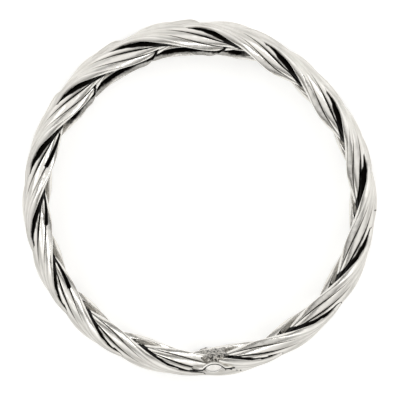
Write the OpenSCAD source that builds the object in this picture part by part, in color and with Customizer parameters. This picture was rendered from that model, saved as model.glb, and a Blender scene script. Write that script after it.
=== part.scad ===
// Woven band ring: a flat five-strand plait, each strand three round wires side by side,
// bent into a hoop and soldered. Each strand is drawn here as one flat strip.
// It lies on its side: the finger hole runs along +Z and the lowest wires touch z = 0.
// Angles are counted clockwise from +Y, seen from above.
// All sizes are in millimetres.

/* [Band] */

// Radius of the band's middle line, half way through its thickness
band_mid_r = 9.38; // [9.2:0.02:9.6]

// How far a strand swings to each side of the band's middle
swing = 1.4; // [1.3:0.05:1.5]

// How far a strand rises and dips through the band's thickness, on average
rise = 0.37; // [0.34:0.01:0.4]

// Extra rise at the looser stretch, taken off again on the opposite side
rise_change = 0.06; // [0:0.01:0.06]

// How far the rise lags behind the swing, in degrees of swing
rise_lag = 20; // [10:1:25]

// Angle of the looser stretch
loose_at = 340; // [330:5:350]

// Inner radius that the far inner strands are drawn in to at the looser stretch
sag_r = 8.22; // [8.1:0.02:8.4]

/* [Wires] */

// Diameter of one wire
wire_d = 0.4; // [0.38:0.01:0.42]

// Half the roll of a strand from one face of the band to the other, in degrees
roll_swing = 96; // [90:1:100]

// How far the roll lags behind the swing, in degrees of swing
roll_lag = 18; // [14:1:22]

// Roll held back at the near edge and added at the far edge, in degrees
roll_edge = 18; // [10:1:20]

/* [Solder joint] */

// Angle of the joint
joint_at = 175.2; // [172:0.2:178]

// Length of the joint along the band
joint_length = 1.8; // [1.6:0.1:2.2]

// Length of the polished bead on the near edge
bead_length = 0.97; // [0.8:0.01:1.1]

// Height of the bead, measured through the band's thickness
bead_height = 0.53; // [0.45:0.01:0.6]

/* [Hidden] */

// Near-edge crossings, one for each time that a strand comes over the edge
// columns: angle in degrees
crossings = [
    40.4, 66.2, 90.9, 117.9, 143.9, 169.6, 199.5,
    223.6, 247.6, 272.2, 297.6, 322.3, 348.8, 374
];

// Hand-bent shape of the hoop
// columns: angle in degrees, outward shift of the middle line in millimetres
bends = [
    [0, 0.16],
    [14, 0.12],
    [32, -0.12],
    [50, -0.2],
    [75, -0.06],
    [100, 0.02],
    [130, 0.03],
    [180, 0],
    [225, 0.03],
    [270, 0],
    [300, 0.05],
    [325, 0.15],
    [345, 0.17],
    [360, 0.16]
];

strands = 5;
crossing_count = len(crossings);
rings = 52;

function crossing(k) =
    let (turn = floor(k / crossing_count))
    crossings[k - turn * crossing_count] + 360 * turn;

function crossing_before(a, k = -2) = crossing(k + 1) > a ? k : crossing_before(a, k + 1);

// Crossings passed at angle a, as a smooth count
function count_at(a) =
    let (
        k = crossing_before(a),
        gap = crossing(k + 1) - crossing(k),
        s = (a - crossing(k)) / gap,
        m0 = 2 * gap / (crossing(k + 1) - crossing(k - 1)),
        m1 = 2 * gap / (crossing(k + 2) - crossing(k))
    )
    k + (s * s * (3 - 2 * s)) + m0 * s * (1 - s) * (1 - s) - m1 * s * s * (1 - s);

// Place in the strand's swing, in degrees: 90 at the near edge, 270 at the far edge
function swing_angle(a, round_no) =
    90 + 360 / strands * (count_at(a) + crossing_count * round_no);

// Smooth step from 0 to 1, held flat outside
function ease(s) =
    let (c = min(max(s, 0), 1))
    c * c * (3 - 2 * c);

function bend_at(a, i = 0) =
    let (b = a - 360 * floor(a / 360))
    bends[i + 1][0] > b
        ? bends[i][1] + (bends[i + 1][1] - bends[i][1])
            * ease((b - bends[i][0]) / (bends[i + 1][0] - bends[i][0]))
        : bend_at(a, i + 1);

// 1 within 33 degrees of the looser stretch's middle, falling to 0 at 45 degrees away
function looseness(a) =
    let (away = abs((a - loose_at + 540) % 360 - 180))
    ease((45 - away) / 12);

// Share of the sag at a place in the swing: full on the inner passes that leave the far edge
function sag_share(t) =
    let (
        past = t - 318 + 180,
        away = abs(past - 360 * floor(past / 360) - 180)
    )
    ease((62 - away) / 32);

function rise_at(a) = rise + rise_change * cos(a - loose_at);

// Roll of a strand at a place in its swing: 0 where its last wire points at the near edge,
// 90 where that wire points at the finger, 180 where it points at the far edge
function roll_at(t) = 90 - roll_swing * cos(t - roll_lag) - roll_edge * sin(t);

// Middle of a strand
function strand_point(a, round_no) =
    let (
        t = swing_angle(a, round_no),
        free_r = band_mid_r + bend_at(a) + rise_at(a) * sin(2 * t - rise_lag),
        drawn_r = sag_r + wire_d * (0.5 + max(sin(roll_at(t)), 0)),
        r = free_r + (drawn_r - free_r) * sag_share(t) * looseness(a)
    )
    [r * sin(a), r * cos(a), swing * sin(t)];

function unit(v) = v / norm(v);

function direction(a, round_no) =
    unit(strand_point(a + 0.5, round_no) - strand_point(a - 0.5, round_no));

// Across the strand, from its first wire to its last, square to its run
function across_at(a, round_no, way) =
    let (
        roll = roll_at(swing_angle(a, round_no)),
        wide = [-sin(roll) * sin(a), -sin(roll) * cos(a), cos(roll)]
    )
    unit(wide - (wide * way) * way);

// Outline of a strand as a strip with its edges taken off, in wire diameters
// columns: distance across the strand, distance square to it
strand_outline = [
    [1.53, 0.25],
    [1.25, 0.53],
    [-1.25, 0.53],
    [-1.53, 0.25],
    [-1.53, -0.25],
    [-1.25, -0.53],
    [1.25, -0.53],
    [1.53, -0.25]
];

function strand_ring(a, round_no) =
    let (
        way = direction(a, round_no),
        across = across_at(a, round_no, way),
        up = cross(way, across),
        middle = strand_point(a, round_no)
    )
    [for (p = strand_outline) middle + wire_d * (p[0] * across + p[1] * up)];

function strand_points(round_no) = [
    for (i = [0 : rings])
        each strand_ring(joint_at + 0.7 + (360 - 1.4) * i / rings, round_no)
];

sides = len(strand_outline);

strand_faces = concat(
    [[for (k = [0 : sides - 1]) k]],
    [
        for (i = [0 : rings - 1], k = [0 : sides - 1])
            [i * sides + k, (i + 1) * sides + k, i * sides + (k + 1) % sides]
    ],
    [
        for (i = [0 : rings - 1], k = [0 : sides - 1])
            [
                (i + 1) * sides + k,
                (i + 1) * sides + (k + 1) % sides,
                i * sides + (k + 1) % sides
            ]
    ],
    [[for (k = [sides - 1 : -1 : 0]) rings * sides + k]]
);

all_points = [for (round_no = [0 : strands - 1]) each strand_points(round_no)];

xs = [for (p = all_points) p[0]];
ys = [for (p = all_points) p[1]];
zs = [for (p = all_points) p[2]];

// Sets the hoop's middle on the Z axis and its lowest wire on z = 0
rest_shift = [-(min(xs) + max(xs)) / 2, -(min(ys) + max(ys)) / 2, -min(zs)];

joint_r = band_mid_r + bend_at(joint_at);
joint_thickness = 2 * rise_at(joint_at) + 1.1 * wire_d;
joint_rows = 9;

// Puts its child on the band at an angle: x runs along the band, y outwards
module at_band(a, r, z) {
    rotate([0, 0, -a])
        translate([0, r, z])
            children();
}

// One round of the strand, from the joint to the joint again
module strand(round_no) {
    polyhedron(strand_points(round_no), strand_faces, convexity = 10);
}

// Solder in rows across the band, each row a lump a little off its neighbours
module solder_joint() {
    step = 2 * (swing + 0.2) / (joint_rows - 1);
    for (i = [0 : joint_rows - 1])
        at_band(joint_at + 0.5 * sin(140 * i), joint_r, -swing - 0.2 + step * i)
            hull()
                for (x = [-1, 1], y = [-1, 1])
                    translate([
                        x * (joint_length / 2 - 0.3),
                        y * (joint_thickness / 2 - 0.3),
                        0
                    ])
                        sphere(r = 0.36, $fn = 6);
}

module bead() {
    at_band(joint_at, joint_r, swing + 0.8 * wire_d)
        scale([bead_length / 2, bead_height / 2, 0.24])
            sphere(r = 1, $fn = 16);
}

module braided_band() {
    color([0.78, 0.77, 0.75])
        translate(rest_shift)
            union() {
                for (round_no = [0 : strands - 1])
                    strand(round_no);
                solder_joint();
                bead();
            }
}

braided_band();
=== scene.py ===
"""Woven band ring in antiqued silver: a flat five-strand plait, three wires to a strand, soldered
into a hoop.

The ring lies on its side on a pale floor, with its finger hole along +Z and the photographed edge up.
Angles are counted clockwise from +Y, as the camera sees the ring. Lengths are worked out in
millimetres and put into the meshes in metres.

A strand swings from edge to edge of the band. Its place in the swing, t, is in degrees: 90 at the
near edge, the one that the camera sees, and 270 at the far edge. The strand is on the band's finger
side from 100 to 190 and from 280 to 370, and on its outer side in between.
"""

import bpy
import numpy as np
from mathutils import Matrix, Vector


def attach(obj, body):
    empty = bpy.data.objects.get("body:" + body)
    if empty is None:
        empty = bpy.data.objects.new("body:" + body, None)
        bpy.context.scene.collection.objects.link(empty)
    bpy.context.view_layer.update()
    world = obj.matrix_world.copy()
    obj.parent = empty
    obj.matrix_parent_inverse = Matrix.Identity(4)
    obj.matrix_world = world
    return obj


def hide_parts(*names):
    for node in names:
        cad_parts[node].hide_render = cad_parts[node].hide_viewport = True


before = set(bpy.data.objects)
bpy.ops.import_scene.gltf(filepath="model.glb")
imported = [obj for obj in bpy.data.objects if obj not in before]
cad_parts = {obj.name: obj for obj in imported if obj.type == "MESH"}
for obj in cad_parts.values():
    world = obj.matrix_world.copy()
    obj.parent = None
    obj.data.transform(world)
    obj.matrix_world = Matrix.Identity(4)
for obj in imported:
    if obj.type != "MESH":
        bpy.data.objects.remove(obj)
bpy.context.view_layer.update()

MM = 0.001

# Hoop and plait, as in the part's source
BAND_MID_R = 9.38
SWING = 1.4
RISE = 0.37
RISE_CHANGE = 0.06
RISE_LAG = 20.0
LOOSE_AT = 340.0
SAG_R = 8.22
SAG_PLACE = 318.0
WIRE_D = 0.40
ROLL_SWING = 96.0
ROLL_LAG = 18.0
ROLL_EDGE = 18.0
JOINT_AT = 175.2
STRANDS = 5

# Swing between one near-edge crossing and the next
SWING_STEP = 360 / STRANDS

# Distances from LOOSE_AT over which the stretch turns looser, and from SAG_PLACE over which a strand there
# is drawn in and turns black with oxide and painted shade: none at the first, full at the second
LOOSE_FADE = (45, 33)
SAG_FADE = (62, 30)
SAG_BLACK_FADE = (62, 50)

# Moves the hoop's middle to the Z axis and its lowest wire to the floor, as the part's source does
HOOP_SHIFT = np.array([0.0235, -0.1151, 1.9785])

# Scale in x and y that keeps the worn wires inside the part's box
FIT = 0.996

# Angles at which a strand comes over the near edge
CROSSINGS = np.array([
    40.4, 66.2, 90.9, 117.9, 143.9, 169.6, 199.5,
    223.6, 247.6, 272.2, 297.6, 322.3, 348.8, 374.0,
])

# Hand-bent shape of the hoop: angle, outward shift of the middle line in millimetres
BENDS = np.array([
    [0, 0.16], [14, 0.12], [32, -0.12], [50, -0.2], [75, -0.06], [100, 0.02], [130, 0.03],
    [180, 0], [225, 0.03], [270, 0], [300, 0.05], [325, 0.15], [345, 0.17], [360, 0.16],
])

# Grid of a wire pass: rings in one round of the hoop, sides of a wire
RINGS = 720
SIDES = 16

# Wear of the wires, as the power that presses a round towards a square: outside, and how much more on
# the finger side, which comes and goes at these places in the swing
WORN = 0.42
WORN_LESS = 0.12
LESS_COMES, LESS_GOES = (70, 120), (300, 260)

# Places in the swing where a last wire and a first wire meet at the near edge, the distances from there
# over which that counts, none at the first and full at the second, and the share of the last wire's
# radius that is worn off there
MEETING = {1: 48, -1: 120}
MEETING_FADE = (35, 7)
THINNED = 0.5

# Black groove beside a wire of the same strand: its width and the width over which it fades
GROOVE = 0.07
GROOVE_FADE = 0.035

# Black wedge beside the strand that laps over this one, oxide and painted shadow in the hollow under it: its
# width at its start, at its widest and in its tail, the share of the tail that is lost at the end, and how
# much a distance along Z counts, so that points deep under the lapping strand are painted as its shadow
WEDGE_START = 0.03
WEDGE = 0.38
TAIL = 0.22
TAIL_LOSS = 0.35
DEPTH = 0.05

# How much nearer the finger than the lapping wire's middle a point has to be for that black: none at the
# first distance, full at the second
WEDGE_SIDE = (-0.02, 0.06)

# Black gap beside the strand that this one laps over, and beside any other
LAPPED_GAP = 0.01
OTHER_GAP = 0.05

# Black on a lapping strand's flank, oxide and painted shade where it dips to the strand it laps: what it has
# over the wedge's share, and the distance over which it fades
FLANK_MORE = 0.2
FLANK_FADE = 0.5

# Painted shade, black under a wire where it covers the point: how strong it is, the distance over which it
# fades, and how far aside of the wire's middle it reaches, in wire radii, none at the first and full at the
# second
COVER_SHADE = 1.15
COVER_FADE = 0.3
COVER_REACH = (1.25, 0.65)

# Where the oxide comes and goes, as places in the swing: none at the first, full at the second
GROOVE_COMES, GROOVE_GOES = (70, 120), (280, 230)
WEDGE_COMES = (103, 135)
WEDGE_NARROWS = (190, 140)
TAIL_NARROWS = (140, 200)
FLANK_COMES, FLANK_GOES = (38, 58), (135, 95)
SLOT_FROM, SLOT_GOES = 110, (205, 180)

# How black the flank of a lapping strand and the loose inner passes are, as oxide and painted shade, for
# first, middle and last wire
FLANK_BLACK = {-1: 0, 0: 0.66, 1: 1.1}
LOOSE_BLACK = {-1: 0, 0: 0.4, 1: 0.95}

# Share of a loose pass's black that is rubbed off its finger side: none at the first radius, all of the
# share at the second
RIM_RUB = 0.5
RIM_GOES = (SAG_R + 0.28, SAG_R + 0.16)

# Rings either side that are searched for neighbours, and room for rounding when swings are compared
REACH = 8
NEARLY = 1

# How wide the wedges are round the hoop: angle, share of the full width
WEDGE_SHARES = np.array([
    [0, 0.95], [27, 1.0], [52, 0.9], [78, 1.0], [105, 0.65], [131, 0.5], [158, 0.3],
    [188, 0.28], [211, 0.42], [235, 0.5], [260, 0.75], [285, 1.0], [335, 1.05], [360, 0.95],
])

# Stretches where the middle and last wires stand apart on the finger side: first and last angle
SLOTS = np.array([[236.5, 250], [261.5, 277], [283, 296]])
SLOT_WIDER = 2

# Pits in the near edge, one by itself and four beside the bead: x and y from the hoop's middle. A pit is
# black at the second of the distances from its middle and clean at the first.
PITS = np.array([[9.906, -0.45], [1.46, -9.5], [1.75, -9.49], [2.09, -9.53], [2.31, -9.55]])
PIT_GOES = (0.09, 0.03)

# The camera looks down the finger hole, tipped so that it sees the outside at the top of the picture
CAMERA_TIP = 6.0
CAMERA_DISTANCE = 300.0
FRAME_WIDTH = 22.58
SENSOR_WIDTH = 36


def ramp(x, start, end):
    """Smooth step of x from 0 at start to 1 at end, held flat outside: with s the share of the way,
    3 s^2 - 2 s^3. Start may be the larger of the two."""
    s = np.clip((x - start) / (end - start), 0, 1)
    return s * s * (3 - 2 * s)


def unit(v):
    """v divided by its length, along the last axis."""
    return v / np.linalg.norm(v, axis=-1, keepdims=True)


def pressed(v, power):
    """v to a power, with its sign kept."""
    return np.sign(v) * np.abs(v) ** power


def angle_between(a, b):
    """How far apart two angles are, from 0 to 180 degrees."""
    return np.abs(np.mod(a - b + 180, 360) - 180)


def ring_angles(extra=0):
    """Angles of the rings in one round from the joint, with some extra rings at both ends."""
    return JOINT_AT + 360 * np.arange(-extra, RINGS + extra) / RINGS


def crossings_passed(a):
    """Smooth count of the near-edge crossings up to angle a: a cubic through the crossing angles,
    whose slope at each one is two crossings over the distance between its neighbours."""
    turns = np.arange(-2, 3)
    x = (CROSSINGS + 360 * turns[:, None]).ravel()
    y = np.arange(len(x)) + turns[0] * len(CROSSINGS)
    slope = np.empty(len(x))
    slope[1:-1] = 2 / (x[2:] - x[:-2])
    slope[0], slope[-1] = slope[1], slope[-2]
    k = np.searchsorted(x, a, side="right") - 1
    gap = x[k + 1] - x[k]
    s = (a - x[k]) / gap
    bulge = slope[k] * gap * s * (1 - s) ** 2 - slope[k + 1] * gap * s * s * (1 - s)
    return y[k] + s * s * (3 - 2 * s) + bulge


def bend_at(a):
    """Outward shift of the hoop at angle a: smooth steps between the charted angles."""
    b = np.mod(a, 360)
    i = np.clip(np.searchsorted(BENDS[:, 0], b, side="right") - 1, 0, len(BENDS) - 2)
    return BENDS[i, 1] + (BENDS[i + 1, 1] - BENDS[i, 1]) * ramp(b, BENDS[i, 0], BENDS[i + 1, 0])


def looseness(a):
    """1 in the looser stretch and 0 away from it."""
    return ramp(angle_between(a, LOOSE_AT), *LOOSE_FADE)


def place_in_swing(a, round_no):
    """Where a strand is in its swing at angle a: 90 degrees, and one SWING_STEP for each crossing."""
    return 90 + SWING_STEP * (crossings_passed(a) + len(CROSSINGS) * round_no)


def strand_roll(t):
    """Roll of a strand at the place t in its swing, in radians: in degrees it is
    90 - ROLL_SWING cos(t - ROLL_LAG) - ROLL_EDGE sin t."""
    lag = np.cos(np.radians(t - ROLL_LAG))
    return np.radians(90 - ROLL_SWING * lag - ROLL_EDGE * np.sin(np.radians(t)))


def strand_line(a, round_no):
    """Middle of a strand at angle a. With t its place in the swing, it is SWING sin t across the band and
    rise sin(2t - RISE_LAG) through the thickness. At the looser stretch, the inner passes that leave the
    far edge are drawn in until their inmost wire touches the radius SAG_R."""
    t = place_in_swing(a, round_no)
    sag = ramp(angle_between(t, SAG_PLACE), *SAG_FADE) * looseness(a)
    rise = RISE + RISE_CHANGE * np.cos(np.radians(a - LOOSE_AT))
    r = BAND_MID_R + bend_at(a) + rise * np.sin(np.radians(2 * t - RISE_LAG))
    drawn_r = SAG_R + WIRE_D / 2 + WIRE_D * np.maximum(np.sin(strand_roll(t)), 0)
    r = r + (drawn_r - r) * sag
    ar = np.radians(a)
    return np.stack([r * np.sin(ar), r * np.cos(ar), SWING * np.sin(np.radians(t))], -1)


def strand_frame(a, round_no):
    """Directions across the strand, from its first wire to its last, and square to its flat side. The
    strand lies flat in the faces of the band and rolls over its edges: its roll is 0 where
    the last wire points at the near edge and 90 where it points at the finger."""
    way = unit(strand_line(a + 0.5, round_no) - strand_line(a - 0.5, round_no))
    roll = strand_roll(place_in_swing(a, round_no))
    ar = np.radians(a)
    wide = np.stack([-np.sin(roll) * np.sin(ar), -np.sin(roll) * np.cos(ar), np.cos(roll)], -1)
    across = unit(wide - (wide * way).sum(-1, keepdims=True) * way)
    return across, np.cross(way, across)


def wire_line(a, round_no, place):
    """Middle of one wire of a strand: place is -1 for the first wire, 0 for the middle one and 1 for the
    last."""
    across = strand_frame(a, round_no)[0]
    return strand_line(a, round_no) + place * WIRE_D * across


def meeting(a, round_no, place):
    """1 where a strand comes over the near edge and its last wire meets the first wire of the strand that
    it laps, and 0 elsewhere and for a middle wire."""
    t = np.mod(place_in_swing(a, round_no), 360)
    return np.zeros(t.shape) if place == 0 else ramp(np.abs(t - MEETING[place]), *MEETING_FADE)


def wire_radius(a, round_no, place):
    """Half the wire's diameter, up to THINNED less on a last wire where it comes over the near edge."""
    return WIRE_D / 2 * (1 - THINNED * meeting(a, round_no, place) * (place == 1))


def wire_passes():
    """Middle lines and radii of all fifteen wire passes, REACH rings past the joint either way, for the
    gaps between neighbours: arrays over place, round, angle and, for the lines, coordinate."""
    a = ring_angles(REACH)
    lines = [[wire_line(a, j, p) for j in range(STRANDS)] for p in (-1, 0, 1)]
    radii = [[wire_radius(a, j, p) for j in range(STRANDS)] for p in (-1, 0, 1)]
    return np.array(lines), np.array(radii)


PASSES, PASS_RADII = wire_passes()

# Radius of the band's middle line at the joint
JOINT_R = float(BAND_MID_R + bend_at(np.array(JOINT_AT)))


def wedge_width(t, share):
    """Width of the black beside the lapping strand, oxide and painted shadow, at the place t in the swing of
    the strand
    that it laps: WEDGE where the wedge is widest, then TAIL, times the share that the angle has."""
    tail = TAIL * (1 - TAIL_LOSS * ramp(t, *TAIL_NARROWS))
    full = tail + (WEDGE - TAIL) * ramp(t, *WEDGE_NARROWS)
    return WEDGE_START + ramp(t, *WEDGE_COMES) * full * share


def slot_at(a, t):
    """1 at SLOTS, on the finger side of the band, and 0 elsewhere."""
    in_slot = ((a % 360 > SLOTS[:, 0]) & (a % 360 < SLOTS[:, 1])).any(1)[:, None]
    return in_slot * (t > SLOT_FROM) * ramp(t, *SLOT_GOES)


def loose_black(points, a, t, place):
    """Black of the inner passes that are drawn in at the looser stretch, oxide and painted shade, rubbed off
    their finger side.
    """
    rim = ramp(np.hypot(points[..., 0], points[..., 1]), *RIM_GOES)
    drawn_in = ramp(angle_between(t, SAG_PLACE), *SAG_BLACK_FADE) * looseness(a)
    return LOOSE_BLACK[place] * drawn_in * (1 - RIM_RUB * rim)


def pit_black(points):
    """Black in the pits, on the near half of the band."""
    from_pit = np.hypot(points[..., None, 0] - PITS[:, 0], points[..., None, 1] - PITS[:, 1]).min(-1)
    return ramp(from_pit, *PIT_GOES) * (points[..., 2] > 0)


def oxide_and_shade(points, normals, place, round_no):
    """How black a wire is painted, from 0 to 1, from its distances to the other wire passes: oxide, and
    painted shade where other wires lie over it or hide it.

    It is black in the groove beside a wire of the same strand, which is widest on the finger side; in
    the gap beside another strand, wedge_width wide where that strand laps over this one, as oxide and painted
    shadow in the hollow under it; on the flank of the lapping strand, as oxide and painted shade; where a
    wire covers the point along its normal, as painted shade, fading with its distance as exp(-distance /
    COVER_FADE);
    on the loose inner passes, as oxide and painted shade; and in the pits."""
    r = WIRE_D / 2
    reach = (COVER_REACH[0] * r, COVER_REACH[1] * r)
    a = ring_angles()[:, None]
    t = np.mod(place_in_swing(a, round_no), 360)
    share = np.interp(a % 360, *WEDGE_SHARES.T)
    wedge = wedge_width(t, share)
    flank = FLANK_BLACK[place] * ramp(t, *FLANK_COMES) * ramp(t, *FLANK_GOES)
    flank = flank * np.minimum(share + FLANK_MORE, 1)
    groove_width = GROOVE * ramp(t, *GROOVE_COMES) * ramp(t, *GROOVE_GOES)
    slot = slot_at(a, t)
    radial = unit(points[..., :2])
    groove = np.zeros(points.shape[:2])
    gap = np.zeros(points.shape[:2])
    cover_shade = np.zeros(points.shape[:2])
    for p in range(3):
        for j in range(STRANDS):
            if p - 1 == place and j == round_no:
                continue
            # The strand that laps over this one is one step behind it in the swing, and the one that it
            # laps is one step ahead
            behind = np.mod(t - place_in_swing(a, j) + NEARLY, 360)
            lapping = (behind > SWING_STEP) & (behind < SWING_STEP + 2 * NEARLY)
            lapped = behind > 360 - SWING_STEP
            for k in range(0, 2 * REACH + 1, 2):
                d = PASSES[p, j, k : k + RINGS][:, None, :] - points
                dd = (d * d).sum(-1)
                near = np.sqrt(dd) - PASS_RADII[p, j, k : k + RINGS][:, None]
                if j == round_no:
                    width = groove_width * (1 + SLOT_WIDER * slot * (p - 1 + place == 1))
                    groove = np.maximum(groove, ramp(near, width + GROOVE_FADE, width))
                else:
                    width = np.where(lapping, wedge, np.where(lapped, LAPPED_GAP, OTHER_GAP))
                    # Oxide and painted shade on this strand's flank beside the strand it laps
                    faded = flank * ramp(near, FLANK_FADE, 0) * (lapped & (p == 0))
                    inward = (d[..., :2] * radial).sum(-1)
                    on_side = np.where(lapping, ramp(inward, *WEDGE_SIDE), 1)
                    # Under the lapping strand a distance along Z counts only DEPTH as much, so the hollow
                    # under it is painted black as its shadow
                    flat = np.sqrt(dd - (1 - DEPTH * DEPTH) * d[..., 2] ** 2) - np.sqrt(dd) + near
                    near = np.where(lapping & (d[..., 2] > 0), flat, near)
                    black = on_side * ramp(near, width, width * 2 / 3)
                    gap = np.maximum(gap, np.maximum(black, faded))
                # Painted shade where another wire lies over the point along its normal, fading with its
                # height above it
                above = (d * normals).sum(-1)
                aside = np.sqrt(np.maximum(dd - above * above, 0))
                hidden = ramp(aside, *reach) * np.exp(-np.maximum(above - r, 0) / COVER_FADE)
                cover_shade = np.maximum(cover_shade, np.where(above > 0, hidden, 0))
    unblackened = (1 - groove) * (1 - gap) * (1 - np.clip(COVER_SHADE * cover_shade, 0, 1))
    return 1 - unblackened * (1 - loose_black(points, a, t, place)) * (1 - pit_black(points))


def wire_loop(place):
    """One wire, closed after five rounds of the hoop, with its oxide and painted shade. The point at angle a
    and turn q is the middle line plus r (c across + v up), with r the wire's radius, and c and v the cosine
    and sine of
    q, pressed by a power: WORN, or WORN_LESS more on the finger side. Where a strand comes over
    the near edge, the wires that meet there keep a power of 1."""
    a = ring_angles()
    q = 2 * np.pi * np.arange(SIDES) / SIDES
    rounds, dark = [], []
    for j in range(STRANDS):
        across, up = strand_frame(a, j)
        t = np.mod(place_in_swing(a, j), 360)
        power = WORN + WORN_LESS * ramp(t, *LESS_COMES) * ramp(t, *LESS_GOES)
        power = (power + (1 - power) * meeting(a, j, place))[:, None]
        c, v = pressed(np.cos(q), power), pressed(np.sin(q), power)
        out = c[..., None] * across[:, None] + v[..., None] * up[:, None]
        points = wire_line(a, j, place)[:, None] + wire_radius(a, j, place)[:, None, None] * out
        rounds.append(points)
        dark.append(oxide_and_shade(points, unit(out), place, j))
    # A round is followed by the one that starts where it ends
    ends = np.array([wire_line(np.array([JOINT_AT + 360]), j, place)[0] for j in range(STRANDS)])
    heads = np.array([wire_line(np.array([JOINT_AT]), j, place)[0] for j in range(STRANDS)])
    follower = np.linalg.norm(ends[:, None] - heads[None], axis=-1).argmin(1)
    order = [0]
    while len(order) < STRANDS:
        order.append(int(follower[order[-1]]))
    return np.concatenate([rounds[j] for j in order]), np.concatenate([dark[j] for j in order])


def closed_grid(rows, columns):
    """Faces of a grid that closes on itself both ways."""
    i, k = np.meshgrid(np.arange(rows), np.arange(columns), indexing="ij")
    i2, k2 = (i + 1) % rows, (k + 1) % columns
    corners = [i * columns + k, i * columns + k2, i2 * columns + k2, i2 * columns + k]
    return np.stack(corners, -1).reshape(-1, 4).tolist()


def ball_grid(rows, columns):
    """Faces of a ball grid with a pole point at each end: quads between the rows and a fan at each pole."""
    i, k = np.meshgrid(np.arange(rows - 1), np.arange(columns), indexing="ij")
    k2 = (k + 1) % columns
    corners = [i * columns + k, i * columns + k2, (i + 1) * columns + k2, (i + 1) * columns + k]
    c = np.arange(columns)
    c2 = (c + 1) % columns
    last = (rows - 1) * columns
    first_fan = np.stack([np.full(columns, rows * columns), c2, c], -1)
    last_fan = np.stack([np.full(columns, rows * columns + 1), last + c, last + c2], -1)
    return np.stack(corners, -1).reshape(-1, 4).tolist() + first_fan.tolist() + last_fan.tolist()


def ball(rows, columns, power):
    """Ball of radius 1 with its poles on x: cos u along x, sin u cos q and sin u sin q square to it, each
    pressed by a power. The poles aren't among the points."""
    u = np.pi * (np.arange(1, rows + 1) / (rows + 1))[:, None]
    q = 2 * np.pi * (np.arange(columns) / columns)[None, :]
    x, y, z = np.cos(u) + 0 * q, np.sin(u) * np.cos(q), np.sin(u) * np.sin(q)
    return pressed(x, power), pressed(y, power), pressed(z, power)


def at_band(x, y, z):
    """Points near the joint from x along the band, y outwards from the axis and z across, in millimetres."""
    a = np.radians(JOINT_AT) + x / BAND_MID_R
    return np.stack([y * np.sin(a), y * np.cos(a), z + 0 * x], -1)


def add_piece(name, points, faces, material, dark=None):
    """A mesh piece from points in millimetres and lists of point numbers, smooth shaded, with its oxide and
    painted shade kept as an attribute."""
    mesh = bpy.data.meshes.new(name)
    placed = (points.reshape(-1, 3) * [FIT, FIT, 1] + HOOP_SHIFT) * MM
    mesh.from_pydata(placed.tolist(), [], faces)
    mesh.polygons.foreach_set("use_smooth", np.ones(len(mesh.polygons), bool))
    if dark is not None:
        # The oxide and painted shade of each point, for the wire material
        layer = mesh.attributes.new("oxide_and_shade", "FLOAT", "POINT")
        layer.data.foreach_set("value", dark.reshape(-1).astype(np.float32))
    mesh.materials.append(material)
    piece = bpy.data.objects.new(name, mesh)
    bpy.context.scene.collection.objects.link(piece)
    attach(piece, "root")
    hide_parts("braided_band")


def add_ball_piece(name, points, poles, material, dark=None):
    """A closed piece from a ball grid of points and its two pole points."""
    faces = ball_grid(*points.shape[:2])
    add_piece(name, np.concatenate([points.reshape(-1, 3), poles]), faces, material, dark)


def srgb(text):
    """Linear colour from an sRGB hex value."""
    c = np.array([int(text[i : i + 2], 16) for i in (1, 3, 5)]) / 255
    linear = np.where(c <= 0.04045, c / 12.92, ((c + 0.055) / 1.055) ** 2.4)
    return (*linear, 1.0)


def node(tree, kind, settings=None, links=None, **inputs):
    """Adds a shader node with its settings, links and input values. An input is named, with _ for a
    space, or numbered, as in i3."""
    n = tree.nodes.new(kind)
    for key, value in (settings or {}).items():
        setattr(n, key, value)
    for key, value in inputs.items():
        numbered = key[0] == "i" and key[1:].isdigit()
        n.inputs[int(key[1:]) if numbered else key.replace("_", " ")].default_value = value
    for key, socket in (links or {}).items():
        tree.links.new(socket, n.inputs[key])
    return n


def new_material(name):
    """A node material with only its shader and output: the material, its node tree and the shader."""
    m = bpy.data.materials.new(name)
    m.use_nodes = True
    t = m.node_tree
    t.nodes.clear()
    shader = node(t, "ShaderNodeBsdfPrincipled")
    node(t, "ShaderNodeOutputMaterial", links={"Surface": shader.outputs["BSDF"]})
    return m, t, shader


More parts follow.
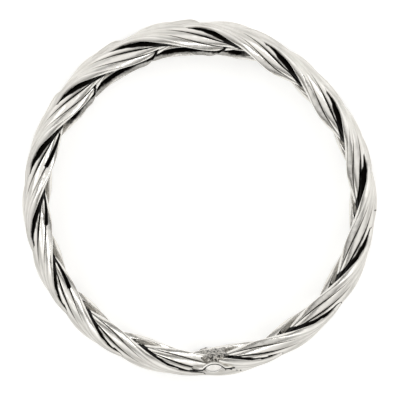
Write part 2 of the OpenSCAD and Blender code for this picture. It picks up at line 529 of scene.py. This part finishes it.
def antiqued_silver_and_shade():
    """Drawn sterling silver wire, dipped in liver of sulphur and polished back: bright, slightly warm
    grey on top, brown-black in the recesses as oxide and painted shade, satin on the worn outer half, with
    faint dents and pits."""
    m, t, shader = new_material("antiqued drawn silver wire with painted shade")
    place = node(t, "ShaderNodeTexCoord").outputs["Object"]
    # Oxide in the grooves and gaps, and painted shade under and between the strands, from the wires' places
    dark = node(t, "ShaderNodeAttribute", {"attribute_name": "oxide_and_shade"}).outputs["Fac"]
    # Oxide and painted shade break up at their edges in patches about 0.15 mm across
    patches = node(t, "ShaderNodeTexNoise", links={"Vector": place},
                   Scale=6.5 / MM, Detail=4.0, Roughness=0.6)
    ragged = node(t, "ShaderNodeMath", {"operation": "MULTIPLY_ADD"},
                  links={0: patches.outputs["Fac"]}, i1=0.5, i2=-0.25)
    edge = node(t, "ShaderNodeMath", {"operation": "ADD"}, links={0: ragged.outputs[0], 1: dark})
    black = node(t, "ShaderNodeMapRange", {"interpolation_type": "SMOOTHSTEP"},
                 links={"Value": edge.outputs[0]}, i1=0.35, i2=0.85)
    # Cloudy dull film over the polish, about 0.8 mm across
    film = node(t, "ShaderNodeTexNoise", links={"Vector": place}, Scale=1.3 / MM, Detail=3.0)
    tone = node(t, "ShaderNodeMix", {"data_type": "RGBA"}, links={0: film.outputs["Fac"]},
                i6=srgb("#D9D6D0"), i7=srgb("#F0EEEA"))
    # Brown-black where the oxide and the painted shade lie
    colour = node(t, "ShaderNodeMix", {"data_type": "RGBA"},
                  links={0: black.outputs[0], 6: tone.outputs[2]}, i7=srgb("#100E0C"))
    t.links.new(colour.outputs[2], shader.inputs["Base Color"])
    gloss = node(t, "ShaderNodeMapRange", links={"Value": film.outputs["Fac"]}, i3=0.16, i4=0.32)
    # The outer half, from a radius of 9.0 to 9.7 mm on, is rubbed to a satin that blurs its wires together
    flat_place = node(t, "ShaderNodeVectorMath", {"operation": "MULTIPLY"}, links={0: place}, i1=(1, 1, 0))
    from_axis = node(t, "ShaderNodeVectorMath", {"operation": "LENGTH"}, links={0: flat_place.outputs[0]})
    outer = node(t, "ShaderNodeMapRange", {"interpolation_type": "SMOOTHSTEP"},
                 links={"Value": from_axis.outputs["Value"]}, i1=9.0 * MM, i2=9.7 * MM, i3=0.0, i4=0.85)
    rough = node(t, "ShaderNodeMix", {"data_type": "FLOAT"},
                 links={0: outer.outputs[0], 2: gloss.outputs[0]}, i3=0.6)
    matt = node(t, "ShaderNodeMix", {"data_type": "FLOAT"},
                links={0: black.outputs[0], 2: rough.outputs[0]}, i3=0.65)
    t.links.new(matt.outputs[0], shader.inputs["Roughness"])
    shader.inputs["Metallic"].default_value = 1.0
    # Soft dents about 0.5 mm across from handling, and pits of about 0.05 mm
    dents = node(t, "ShaderNodeTexNoise", links={"Vector": place}, Scale=1.9 / MM, Detail=1.0)
    pits = node(t, "ShaderNodeTexNoise", links={"Vector": place}, Scale=18.0 / MM, Detail=2.0)
    dent_bump = node(t, "ShaderNodeBump", links={"Height": dents.outputs["Fac"]},
                     Strength=0.5, Distance=0.08 * MM)
    pit_bump = node(t, "ShaderNodeBump",
                    links={"Height": pits.outputs["Fac"], "Normal": dent_bump.outputs[0]},
                    Strength=0.4, Distance=0.01 * MM)
    t.links.new(pit_bump.outputs[0], shader.inputs["Normal"])
    return m


def rough_solder():
    """Silver solder as it set, not polished: grey, grainy, with dark pits."""
    m, t, shader = new_material("rough silver solder")
    place = node(t, "ShaderNodeTexCoord").outputs["Object"]
    # Grains about 0.15 mm across
    grain = node(t, "ShaderNodeTexNoise", links={"Vector": place}, Scale=6.5 / MM, Detail=5.0, Roughness=0.7)
    speck = node(t, "ShaderNodeMapRange", {"interpolation_type": "SMOOTHSTEP"},
                 links={"Value": grain.outputs["Fac"]}, i1=0.40, i2=0.60)
    colour = node(t, "ShaderNodeMix", {"data_type": "RGBA"}, links={0: speck.outputs[0]},
                  i6=srgb("#22201D"), i7=srgb("#CFCBC4"))
    t.links.new(colour.outputs[2], shader.inputs["Base Color"])
    shader.inputs["Metallic"].default_value = 1.0
    shader.inputs["Roughness"].default_value = 0.42
    bump = node(t, "ShaderNodeBump", links={"Height": grain.outputs["Fac"]}, Strength=0.8, Distance=0.07 * MM)
    t.links.new(bump.outputs[0], shader.inputs["Normal"])
    return m


def polished_bead():
    """Solder bead rubbed smooth: the brightest, cleanest silver on the ring."""
    m, t, shader = new_material("polished solder bead")
    place = node(t, "ShaderNodeTexCoord").outputs["Object"]
    # Haze about 0.3 mm across
    haze = node(t, "ShaderNodeTexNoise", links={"Vector": place}, Scale=3.5 / MM, Detail=2.0)
    colour = node(t, "ShaderNodeMix", {"data_type": "RGBA"}, links={0: haze.outputs["Fac"]},
                  i6=srgb("#DEDBD6"), i7=srgb("#F6F4F1"))
    t.links.new(colour.outputs[2], shader.inputs["Base Color"])
    shader.inputs["Metallic"].default_value = 1.0
    shader.inputs["Roughness"].default_value = 0.2
    return m


def plaited_wires(material):
    """The three wire loops that make up the band: the first, middle and last wire of every strand."""
    for name, place in (("first_wire", -1), ("middle_wire", 0), ("last_wire", 1)):
        points, dark = wire_loop(place)
        add_piece(name, points, closed_grid(STRANDS * RINGS, SIDES), material, dark)


def solder_lump(material):
    """Solder over the finger side of the joint: a ball pressed to a rounded block, with its ends uneven and
    lumps added as summed products of sines."""
    half_long, half_thick, half_wide = 0.86, 0.31, 1.85
    middle_r = JOINT_R - 0.46
    x, y, z = ball(rows=59, columns=72, power=0.6)
    lump = (np.sin(9 * x + 4 * z) * np.sin(7 * z + 1) + np.sin(15 * z + 5 * x + 2) * np.sin(11 * x)) * 0.04
    uneven = half_long + 0.12 * np.sin(4 * z + 3 * y)
    points = at_band(x * uneven, middle_r + y * (half_thick + lump), z * (half_wide + lump))
    poles = at_band(np.array([half_long, -half_long]), np.full(2, middle_r), np.zeros(2))
    add_ball_piece("solder_joint", points, poles, material)


def oval_bead(material):
    """Polished bead on the near edge: a ball 1.02 mm long and 0.56 mm high, with its top pressed flat."""
    half_long, half_high, half_deep = 0.51, 0.28, 0.185
    middle_r, middle_z = JOINT_R - 0.03, 1.78
    x, y, z = ball(rows=23, columns=40, power=1)
    points = at_band(x * half_long, middle_r + y * half_high, middle_z + pressed(z, 0.6) * half_deep)
    poles = at_band(np.array([half_long, -half_long]), np.full(2, middle_r), np.full(2, middle_z))
    add_ball_piece("oval_bead", points, poles, material)


def bowed_wire(material):
    """The wire that bows round the bead on its finger side. At x along the band, its middle line is
    bow (1 - |x / 0.64|^2.2) further in than its ends. It dips into the strand past 0.7 mm, and the camera
    sees its right end lean out a little. Its radius shrinks as a square root over the last 0.1 mm of
    each end. It is dark on the side that faces the bead."""
    half_long, thick, bow = 1.25, 0.115, 0.3
    steps, sides = 60, 20
    x = half_long * np.cos(np.pi * np.arange(1, steps) / steps)[:, None]
    q = 2 * np.pi * (np.arange(sides) / sides)[None, :]
    radius = thick * np.minimum(1, np.sqrt((half_long - np.abs(x)) / 0.1))
    lean = 0.1 * np.maximum(-x - 0.4, 0)
    r = JOINT_R + 0.03 - bow * np.maximum(1 - np.abs(x / 0.64) ** 2.2, 0) + lean
    z = 1.85 - 0.5 * ramp(np.abs(x), 0.7, 1.6)
    points = at_band(x + 0 * q, r + radius * np.cos(q), z + radius * np.sin(q))
    ends = at_band(np.array([half_long, -half_long]), r[[0, -1], 0], z[[0, -1], 0])
    dark = np.concatenate([(ramp(np.cos(q), -0.1, 0.4) + 0 * x).ravel(), [0, 0]])
    add_ball_piece("bowed_wire", points, ends, material, dark)


silver = antiqued_silver_and_shade()
plaited_wires(silver)
solder_lump(rough_solder())
oval_bead(polished_bead())
bowed_wire(silver)


def pale_floor():
    """Matt white card under the ring, faintly mottled."""
    m, t, shader = new_material("matt white card")
    place = node(t, "ShaderNodeTexCoord").outputs["Object"]
    # Fibre mottle about 5 mm across
    mottle = node(t, "ShaderNodeTexNoise", links={"Vector": place}, Scale=0.2 / MM, Detail=3.0)
    colour = node(t, "ShaderNodeMix", {"data_type": "RGBA"}, links={0: mottle.outputs["Fac"]},
                  i6=srgb("#DEDEDD"), i7=srgb("#E4E4E3"))
    t.links.new(colour.outputs[2], shader.inputs["Base Color"])
    shader.inputs["Roughness"].default_value = 0.9
    # A slight glow keeps the ring's own shade on the card as pale as a light tent does
    shader.inputs["Emission Color"].default_value = (1, 1, 1, 1)
    shader.inputs["Emission Strength"].default_value = 0.45
    half = 0.6
    corners = [(-half, -half, 0), (half, -half, 0), (half, half, 0), (-half, half, 0)]
    mesh = bpy.data.meshes.new("floor")
    mesh.from_pydata(corners, [], [(0, 1, 2, 3)])
    mesh.materials.append(m)
    floor = bpy.data.objects.new("floor", mesh)
    bpy.context.scene.collection.objects.link(floor)


def soft_light(name, place, size, power):
    """A square soft box that looks at the ring from a place in metres."""
    light = bpy.data.lights.new(name, "AREA")
    light.size = size
    light.energy = power
    lamp = bpy.data.objects.new(name, light)
    lamp.location = place
    lamp.rotation_euler = Vector(place).to_track_quat("Z", "Y").to_euler()
    bpy.context.scene.collection.objects.link(lamp)


def studio():
    """A grey room with a bright ceiling: the room's tone rises from 0.25 just over the floor to 1.05
    overhead, so that wires show dark sides."""
    world = bpy.data.worlds.new("studio")
    bpy.context.scene.world = world
    world.use_nodes = True
    t = world.node_tree
    t.nodes.clear()
    way = node(t, "ShaderNodeTexCoord").outputs["Generated"]
    parts = node(t, "ShaderNodeSeparateXYZ", links={0: way})
    tone = node(t, "ShaderNodeMapRange", {"interpolation_type": "SMOOTHSTEP"},
                links={"Value": parts.outputs["Z"]}, i1=0.12, i2=0.9, i3=0.25, i4=1.05)
    back = node(t, "ShaderNodeBackground", links={"Strength": tone.outputs[0]}, Color=(1.0, 0.995, 0.98, 1))
    node(t, "ShaderNodeOutputWorld", links={"Surface": back.outputs[0]})


def camera():
    """A camera CAMERA_DISTANCE from the hoop's middle, whose frame there is FRAME_WIDTH wide."""
    tip = np.radians(CAMERA_TIP)
    back = Vector((0, np.sin(tip), np.cos(tip)))
    up = Vector((0, np.cos(tip), -np.sin(tip)))
    right = up.cross(back)
    data = bpy.data.cameras.new("camera")
    data.sensor_width = SENSOR_WIDTH
    data.lens = SENSOR_WIDTH * CAMERA_DISTANCE / FRAME_WIDTH
    data.clip_start = 0.01
    cam = bpy.data.objects.new("camera", data)
    place = Matrix.Translation(Vector(HOOP_SHIFT * MM) + back * CAMERA_DISTANCE * MM)
    cam.matrix_world = place @ Matrix((right, up, back)).transposed().to_4x4()
    bpy.context.scene.collection.objects.link(cam)
    bpy.context.scene.camera = cam


pale_floor()
studio()
soft_light("left soft box", (-0.25, 0.2, 0.35), size=0.22, power=0.35)
soft_light("right soft box", (0.3, 0.1, 0.25), size=0.15, power=0.25)
camera()
bpy.context.scene.view_settings.view_transform = "Standard"
